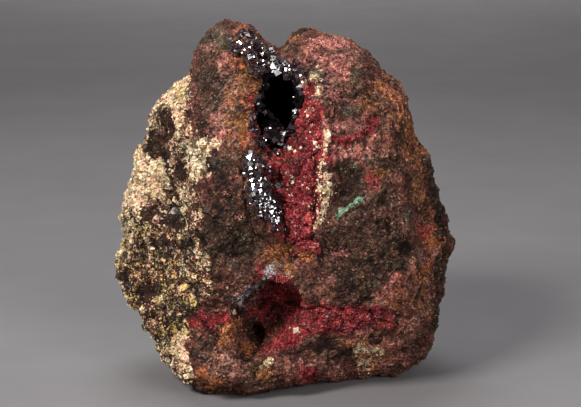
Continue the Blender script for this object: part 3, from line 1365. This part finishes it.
DARK_CUPRITE = GrainFinish("dark_cuprite", Shades((11, 6, 8), (30, 18, 23), (74, 48, 57), 900.0), 0.18, 2.0)
VUG_GROUND = GrainFinish("vug_ground", Shades((3, 2, 2), (8, 5, 6), (18, 12, 13)), 0.95, 1.2)
BRILLIANT_CUPRITE = GrainFinish("brilliant_cuprite", Shades((60, 60, 70), (92, 92, 104), (120, 122, 136)), 0.12, 3.0)
CRIMSON_DRUSE = GrainFinish("crimson_druse", Shades((46, 8, 14), (128, 30, 40), (198, 86, 84), 300.0), 0.4, 1.6, 0.15)
PALE_GRAINS = GrainFinish("pale_grains", Shades((150, 122, 94), (214, 190, 158), (246, 234, 214)), 0.6, 1.5)
PALE_PIECE = GrainFinish("pale_piece", Shades((190, 166, 138), (226, 206, 180), (250, 240, 226)), 0.5, 1.5, 0.7)
FROST_PIECE = GrainFinish("frost_piece", Shades((112, 110, 114), (162, 162, 167), (222, 222, 228)), 0.4, 1.5, 0.6)
PALE_LUMPS = GrainFinish("pale_lumps", Shades((104, 78, 52), (206, 178, 136), (252, 240, 208), 380.0), 0.7, 1.45, 0.2, 0.25)
DARK_LUMPS = GrainFinish("dark_lumps", Shades((20, 14, 10), (50, 38, 28), (92, 74, 56), 500.0), 0.6, 1.45, 0.2, 0.25)
DARK_GRAINS = GrainFinish("dark_grains", Shades((20, 12, 8), (54, 35, 25), (102, 72, 53), 700.0), 0.5, 1.45)
OCHRE_GRAINS = GrainFinish("ochre_grains", Shades((82, 42, 23), (148, 88, 53), (206, 146, 98), 700.0), 0.6, 1.5)

CRUSTS = (
    Crust(
        "vug_crystals", "vug_crystal_crust", "dark_crystal", 1500, 0.3, 1.25, FORMS_OF_CUPRITE, 3, shift=1.1,
        patches=(
            Vein(((-9.0, 79.0, 1.2), (-8.6, 72.0, 2.2), (-5.4, 67.4, 2.6), (-1.0, 66.0, 2.0))),
            Vein(((-6.2, 91.0, 2.0), (-2.0, 88.6, 2.4), (3.0, 87.0, 2.4), (6.0, 84.0, 1.6)), 0.9),
        ),
        shelf=Vein(((-7.5, 74.5, 1.8), (-5.0, 70.0, 2.8), (-1.5, 68.0, 2.4))), layer_finish=VUG_GROUND,
    ),
    Crust("crest_crystals", "crest_crystal_cluster", "dark_crystal", 260, 0.3, 1.15, FORMS_OF_CUPRITE, 5),
    Crust(
        "seam_crystals", "seam_crystal_cluster", "dark_crystal", 620, 0.3, 1.25, FORMS_OF_CUPRITE, 7,
        patches=(
            Vein(((-8.9, 65.5, 1.6), (-8.6, 59.0, 1.8), (-7.0, 54.0, 2.2), (-4.5, 50.0, 2.3), (-1.5, 46.5, 1.8))),
        ),
    ),
    Crust(
        "red_druse_crystals", "red_druse", "crimson_druse", 3400, 0.16, 0.5, FORMS_OF_DRUSE, 9,
        layer_size=2.4, layer_rise=0.95, shift=0.75, spared=(Mineral.DARK, Mineral.CREAM, Mineral.OCHRE),
    ),
    Crust(
        "pocket_druse_crystals", "pocket_druse", "crimson_druse", 2200, 0.16, 0.5, FORMS_OF_DRUSE, 13,
        layer_size=2.4, layer_rise=0.7, shift=0.75, spared=(Mineral.DARK, Mineral.CREAM),
    ),
)

ROCK_GRAINS = Growth(
    "rock_grains", "matrix", 13500, 0.15, 0.35, FORMS_OF_GRAINS, 31, spared=(Mineral.CRIMSON,)
)

GROWTHS = (
    (Growth(
        "mouth_crystals", "dark_crystal", 640, 0.3, 1.1, FORMS_OF_CUPRITE, 37,
        patches=(
            Vein(((-6.2, 93.0, 1.2), (-3.2, 89.6, 1.6), (0.0, 88.4, 1.8), (3.4, 87.0, 1.8), (5.8, 84.4, 1.2)), 1.0),
            Vein(((-8.4, 78.0, 0.7), (-8.2, 72.0, 1.1), (-6.2, 67.6, 1.5), (-2.6, 65.6, 1.4)), 0.9),
            Spot(10.3, 84.6, 1.4, 1.1), Vein(((-5.4, 63.5, 1.2), (-3.6, 57.0, 1.6), (-1.8, 51.0, 1.5)), 0.75),
        ),
    ), DARK_CUPRITE),
    (Growth(
        "crimson_growth", "crimson_druse", 8000, 0.14, 0.4, FORMS_OF_DRUSE, 41, Mineral.CRIMSON,
        (Mineral.CREAM, Mineral.DARK), clump=2.2,
    ), CRIMSON_DRUSE),
    (Growth(
        "pale_growth", "matrix", 3600, 0.15, 0.36, FORMS_OF_GRAINS, 43, Mineral.CREAM, (Mineral.DARK,), clump=2.6
    ), PALE_GRAINS),
    (Growth(
        "dark_growth", "matrix", 3000, 0.15, 0.45, FORMS_OF_GRAINS, 47, Mineral.DARK, (Mineral.CRIMSON,), clump=2.4
    ), DARK_GRAINS),
    (Growth(
        "pale_lumps", "matrix", 900, 0.4, 1.35, FORMS_OF_LUMPS, 61, Mineral.CREAM, (Mineral.DARK, Mineral.CRIMSON),
        clump=3.4, stands_above=0.1,
    ), PALE_LUMPS),
    (Growth(
        "dark_lumps", "matrix", 700, 0.4, 1.3, FORMS_OF_LUMPS, 67, Mineral.DARK, (Mineral.CRIMSON,),
        clump=3.0, stands_above=0.1,
    ), DARK_LUMPS),
    (Growth(
        "ochre_growth", "matrix", 2600, 0.16, 0.42, FORMS_OF_GRAINS, 53, Mineral.OCHRE, (Mineral.CRIMSON,), clump=2.0
    ), OCHRE_GRAINS),
)

VUG_WALL = Growth(
    "vug_wall_crystals", "dark_crystal", 620, 0.35, 1.25, FORMS_OF_CUPRITE, 71,
    patches=(
        Vein(((-8.2, 75.5, 1.6), (-5.6, 70.5, 2.8), (-1.6, 68.4, 2.6), (1.0, 69.0, 1.8))),
        Vein(((4.8, 82.5, 0.9), (5.0, 77.5, 1.0), (3.4, 72.0, 1.0)), 0.5),
        Vein(((-7.0, 82.0, 0.8), (-8.4, 77.0, 1.0)), 0.5),
    ),
    front_ends=-14.0,
)

BRILLIANTS = Standouts(
    "brilliant_crystals", "dark_crystal",
    (
        Standout(3.0, 76.1, 1.0), Standout(-3.2, 92.1, 0.8), Standout(-3.2, 88.2, 1.5), Standout(-1.8, 89.3, 0.9),
        Standout(-12.0, 94.4, 0.9), Standout(-10.0, 94.9, 0.6), Standout(-9.3, 63.5, 1.1), Standout(-8.6, 65.3, 0.6),
        Standout(-9.0, 60.6, 0.7), Standout(-8.0, 54.8, 0.8), Standout(-6.4, 52.6, 0.6), Standout(-3.4, 48.9, 0.9),
    ),
    (
        (Vein(((-8.8, 64.0, 1.2), (-7.0, 54.5, 1.8), (-4.5, 51.0, 2.0))), 34),
        (Vein(((-5.5, 52.0, 2.0), (-1.2, 45.2, 1.8))), 60),
        (Vein(((-12.5, 94.5, 1.0), (-6.0, 89.0, 1.8), (0.0, 88.0, 1.6), (5.4, 84.6, 0.8))), 30),
        (Vein(((-7.0, 68.5, 1.0), (-1.0, 66.0, 1.0))), 8),
    ),
)
PALE_PIECES = Standouts(
    "pale_pieces", "matrix",
    (
        Standout(11.9, 69.6, 1.1), Standout(8.4, 67.5, 0.9), Standout(7.8, 63.4, 0.8), Standout(11.1, 65.6, 0.8),
        Standout(2.4, 57.0, 0.8), Standout(3.2, 17.0, 1.1), Standout(-13.8, 21.9, 1.1), Standout(4.6, 66.2, 0.6),
        Standout(1.6, 66.0, 0.8), Standout(3.0, 65.2, 0.6), Standout(8.4, 44.6, 0.7), Standout(6.4, 74.8, 0.6),
    ),
    (
        (Vein(((10.4, 64.0, 1.0), (10.9, 55.0, 2.2), (9.6, 44.0, 1.2))), 26),
        (Vein(((-22.4, 66.4, 3.0), (-23.0, 60.5, 2.4))), 40),
        (Vein(((-42.5, 50.5, 1.4), (-38.0, 58.0, 2.0), (-33.0, 62.0, 2.4))), 46),
    ),
    seed=19, wobble=0.6,
)
FROST_PIECES = Standouts(
    "frost_pieces", "matrix", (),
    (
        (Vein(((-13.0, 24.6, 0.9), (-9.2, 27.8, 1.0), (-5.9, 30.5, 0.9), (-2.7, 33.8, 0.9))), 44),
        (Vein(((-0.8, 67.0, 0.8), (2.0, 66.0, 0.8))), 8),
    ),
    seed=23, wobble=0.6,
)


def surface_of(nodes: Iterable[str]) -> BVHTree:
    """The surfaces of several of the model's nodes, to measure distances to."""
    bm = bmesh.new()
    for node in nodes:
        bm.from_mesh(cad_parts[node].data)
    bmesh.ops.scale(bm, vec=(1 / MM, 1 / MM, 1 / MM), verts=bm.verts)
    tree = BVHTree.FromBMesh(bm)
    bm.free()
    return tree


def main() -> None:
    """Build and dress the specimen, then the studio around it."""
    logging.basicConfig(level=logging.INFO, format="%(relativeCreated)6d ms  %(message)s")
    effects = Effects()
    studio = Studio()
    VIEW.make_camera()
    studio.build(effects)
    rock_surface = surface_of(["matrix"])
    rock_finish = RockFinish().material(effects)
    slots = {"dark_crystal": DARK_CUPRITE.material(effects), "crimson_druse": CRIMSON_DRUSE.material(effects)}
    pieces = [HostRock().build(rock_finish, surface_of([crust.node for crust in CRUSTS]))]
    for crust in CRUSTS:
        layer = crust.layer_finish.material(effects) if crust.layer_finish else rock_finish
        pieces.append(crust.build(layer, slots[crust.slot], rock_surface))
    ground = Ground(piece for piece, crust in zip(pieces, (None, *CRUSTS)) if not (crust and crust.layer_finish))
    ROCK_GRAINS.build(rock_finish, ground, with_minerals=True)
    for growth, finish in GROWTHS:
        growth.build(finish.material(effects), ground)
    lamps = (studio.key.place, studio.fill.place)
    VUG_WALL.build(slots[VUG_WALL.slot], Ground(pieces[1:2]))
    BRILLIANTS.build(BRILLIANT_CUPRITE.material(effects), pieces, lamps)
    PALE_PIECES.build(PALE_PIECE.material(effects), pieces, lamps)
    FROST_PIECES.build(FROST_PIECE.material(effects), pieces, lamps)


if __name__ == "__main__":
    main()
